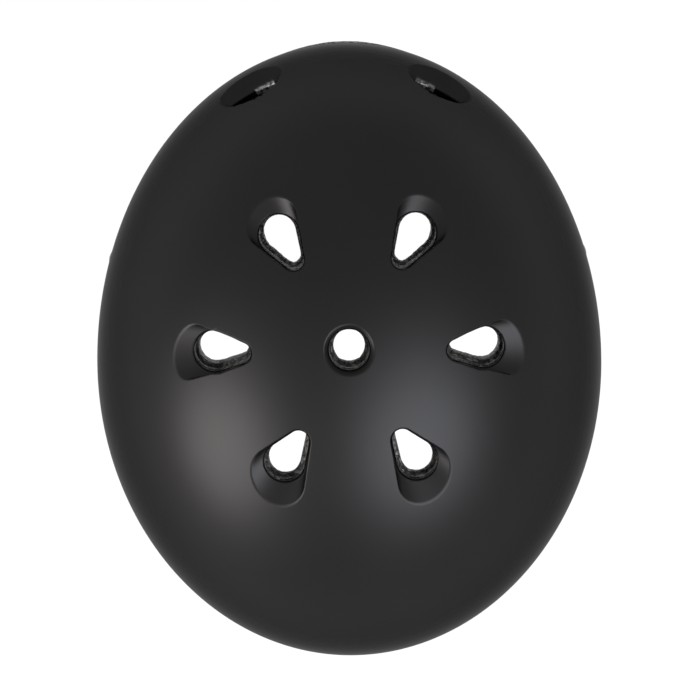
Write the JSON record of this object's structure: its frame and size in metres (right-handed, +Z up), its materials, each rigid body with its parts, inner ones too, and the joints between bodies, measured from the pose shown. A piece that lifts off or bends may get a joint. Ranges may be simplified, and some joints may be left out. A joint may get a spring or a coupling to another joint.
{
  "type": "skate helmet",
  "caption": "Hard-shell skate helmet with scooped vents, foam liner, comfort pads and a riveted chin harness with a side-release buckle.",
  "frame": {"origin": "middle of the head opening, at the level where the shell is widest, where the wearer's head sits", "axes": "+Z up through the crown, -Y to the front, +X to the wearer's left"},
  "size_m": [0.222, 0.2719, 0.292],
  "materials": {
    "shell_black": "matte, soft sheen",
    "foam_black": "beaded foam",
    "pad_fabric": "brushed knit",
    "hook_fabric": "hook tape",
    "rivet_black": "satin black",
    "washer_steel": "plain",
    "webbing_black": "woven",
    "fitting_black": "fine spark texture",
    "keeper_rubber": "matte"
  },
  "bodies": {
    "helmet": {"shell": "shell_black", "foam_liner": "foam_black", "crown_pad": "pad_fabric", "brow_pad": "pad_fabric", "nape_pad": "pad_fabric", "side_pad_left": "pad_fabric", "side_pad_right": "pad_fabric", "hook_dots": "hook_fabric", "anchor_rivets": "rivet_black", "anchor_washers": "washer_steel", "strap_left_front": "webbing_black", "strap_left_rear": "webbing_black", "strap_right_front": "webbing_black", "strap_right_rear": "webbing_black", "buckle_socket": "fitting_black", "buckle_plug": "fitting_black"},
    "divider_left": {"divider_base_left": "fitting_black"},
    "lid_left": {"divider_lid_left": "fitting_black"},
    "divider_right": {"divider_base_right": "fitting_black"},
    "lid_right": {"divider_lid_right": "fitting_black"},
    "prong_front": {"buckle_prong_front": "fitting_black"},
    "prong_rear": {"buckle_prong_rear": "fitting_black"},
    "keeper": {"tail_keeper": "keeper_rubber"}
  },
  "joints": [
    {"name": "divider_left_slide", "type": "slide", "parent": "helmet", "child": "divider_left", "axis": [0, 0, 1], "range_m": [-0.012, 0]},
    {"name": "divider_right_slide", "type": "slide", "parent": "helmet", "child": "divider_right", "axis": [0, 0, 1], "range_m": [-0.012, 0]},
    {"name": "lid_left_hinge", "type": "hinge", "parent": "divider_left", "child": "lid_left", "pos_m": [0.08865, -0.008, -0.1035], "axis": [0, 1, 0], "range_deg": [0, 100]},
    {"name": "lid_right_hinge", "type": "hinge", "parent": "divider_right", "child": "lid_right", "pos_m": [-0.08865, -0.008, -0.1035], "axis": [0, -1, 0], "range_deg": [0, 100]},
    {"name": "prong_front_squeeze", "type": "hinge", "parent": "helmet", "child": "prong_front", "pos_m": [-0.085, -0.0158, -0.169], "axis": [1, 0, 0], "range_deg": [0, 8], "stiffness_Nm_per_rad": 0.3},
    {"name": "prong_rear_squeeze", "type": "hinge", "parent": "helmet", "child": "prong_rear", "pos_m": [-0.085, -0.0002, -0.169], "axis": [-1, 0, 0], "range_deg": [0, 8], "stiffness_Nm_per_rad": 0.3},
    {"name": "keeper_slide", "type": "slide", "parent": "helmet", "child": "keeper", "axis": [0, 0, 1], "range_m": [-0.002, 0.008]}
  ]
}
